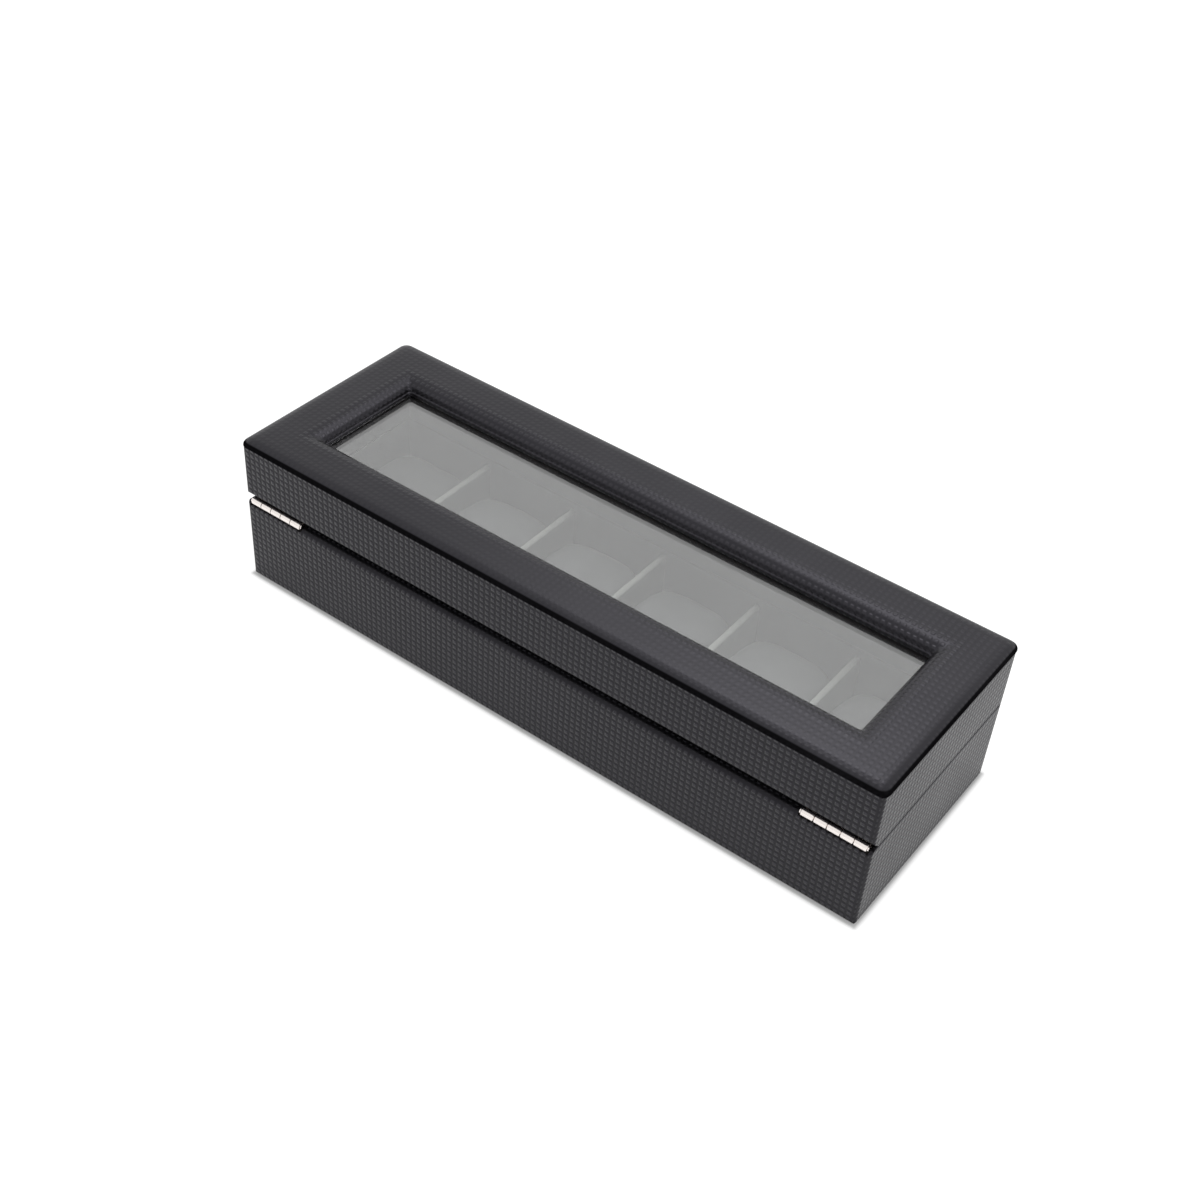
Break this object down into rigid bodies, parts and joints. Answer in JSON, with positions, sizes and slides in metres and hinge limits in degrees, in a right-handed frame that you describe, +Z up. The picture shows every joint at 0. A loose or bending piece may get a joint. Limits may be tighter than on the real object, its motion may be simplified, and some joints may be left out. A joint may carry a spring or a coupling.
{
  "type": "watch box",
  "caption": "Long leatherette watch storage box with hinged, padded lid framing a glass window over a row of pillow-filled compartments.",
  "frame": {"origin": "middle of the underside, on the surface that the box stands on", "axes": "+X along the length, +Y to the hinged back, +Z up"},
  "size_m": [0.32, 0.105, 0.075],
  "materials": {
    "leatherette": "matt, embossed with a fine weave",
    "board": "black-stained fibreboard",
    "lining_velvet": "short pile",
    "pillow_velvet": "short pile",
    "underside_felt": "felt",
    "foam": "open-cell foam",
    "window_glass": "clear, polished",
    "hinge_nickel": "polished nickel plate",
    "magnet_steel": "plated"
  },
  "bodies": {
    "base": {"base_front_panel": "board", "base_back_panel": "board", "base_left_panel": "board", "base_right_panel": "board", "base_floor_panel": "board", "base_wrap": "leatherette", "base_underside_pad": "underside_felt", "base_lining_front": "lining_velvet", "base_lining_back": "lining_velvet", "base_lining_left": "lining_velvet", "base_lining_right": "lining_velvet", "base_lining_floor": "lining_velvet", "divider_1": "lining_velvet", "divider_2": "lining_velvet", "divider_3": "lining_velvet", "divider_4": "lining_velvet", "divider_5": "lining_velvet", "base_hinge_leaf_left": "hinge_nickel", "base_hinge_leaf_right": "hinge_nickel", "hinge_pin_left": "hinge_nickel", "hinge_pin_right": "hinge_nickel", "base_hinge_screws": "hinge_nickel", "base_magnets": "magnet_steel"},
    "lid": {"lid_front_panel": "board", "lid_back_panel": "board", "lid_left_panel": "board", "lid_right_panel": "board", "lid_window_board": "board", "glass_pane": "window_glass", "lid_top_board": "board", "lid_top_foam": "foam", "lid_top_cover": "leatherette", "lid_wrap": "leatherette", "lid_lining_front": "lining_velvet", "lid_lining_back": "lining_velvet", "lid_lining_left": "lining_velvet", "lid_lining_right": "lining_velvet", "lid_lining_ceiling": "lining_velvet", "lid_hinge_leaf_left": "hinge_nickel", "lid_hinge_leaf_right": "hinge_nickel", "lid_hinge_screws": "hinge_nickel", "lid_magnets": "magnet_steel"},
    "pillow_1": {"pillow_1": "pillow_velvet"},
    "pillow_2": {"pillow_2": "pillow_velvet"},
    "pillow_3": {"pillow_3": "pillow_velvet"},
    "pillow_4": {"pillow_4": "pillow_velvet"},
    "pillow_5": {"pillow_5": "pillow_velvet"},
    "pillow_6": {"pillow_6": "pillow_velvet"}
  },
  "joints": [
    {"name": "lid_hinge", "type": "hinge", "parent": "base", "child": "lid", "pos_m": [0, 0.0506, 0.042], "axis": [-1, 0, 0], "range_deg": [0, 100]},
    {"name": "pillow_1_lift", "type": "slide", "parent": "base", "child": "pillow_1", "axis": [0, 0, 1], "range_m": [0, 0.024]},
    {"name": "pillow_2_lift", "type": "slide", "parent": "base", "child": "pillow_2", "axis": [0, 0, 1], "range_m": [0, 0.024]},
    {"name": "pillow_3_lift", "type": "slide", "parent": "base", "child": "pillow_3", "axis": [0, 0, 1], "range_m": [0, 0.024]},
    {"name": "pillow_4_lift", "type": "slide", "parent": "base", "child": "pillow_4", "axis": [0, 0, 1], "range_m": [0, 0.024]},
    {"name": "pillow_5_lift", "type": "slide", "parent": "base", "child": "pillow_5", "axis": [0, 0, 1], "range_m": [0, 0.024]},
    {"name": "pillow_6_lift", "type": "slide", "parent": "base", "child": "pillow_6", "axis": [0, 0, 1], "range_m": [0, 0.024]}
  ]
}
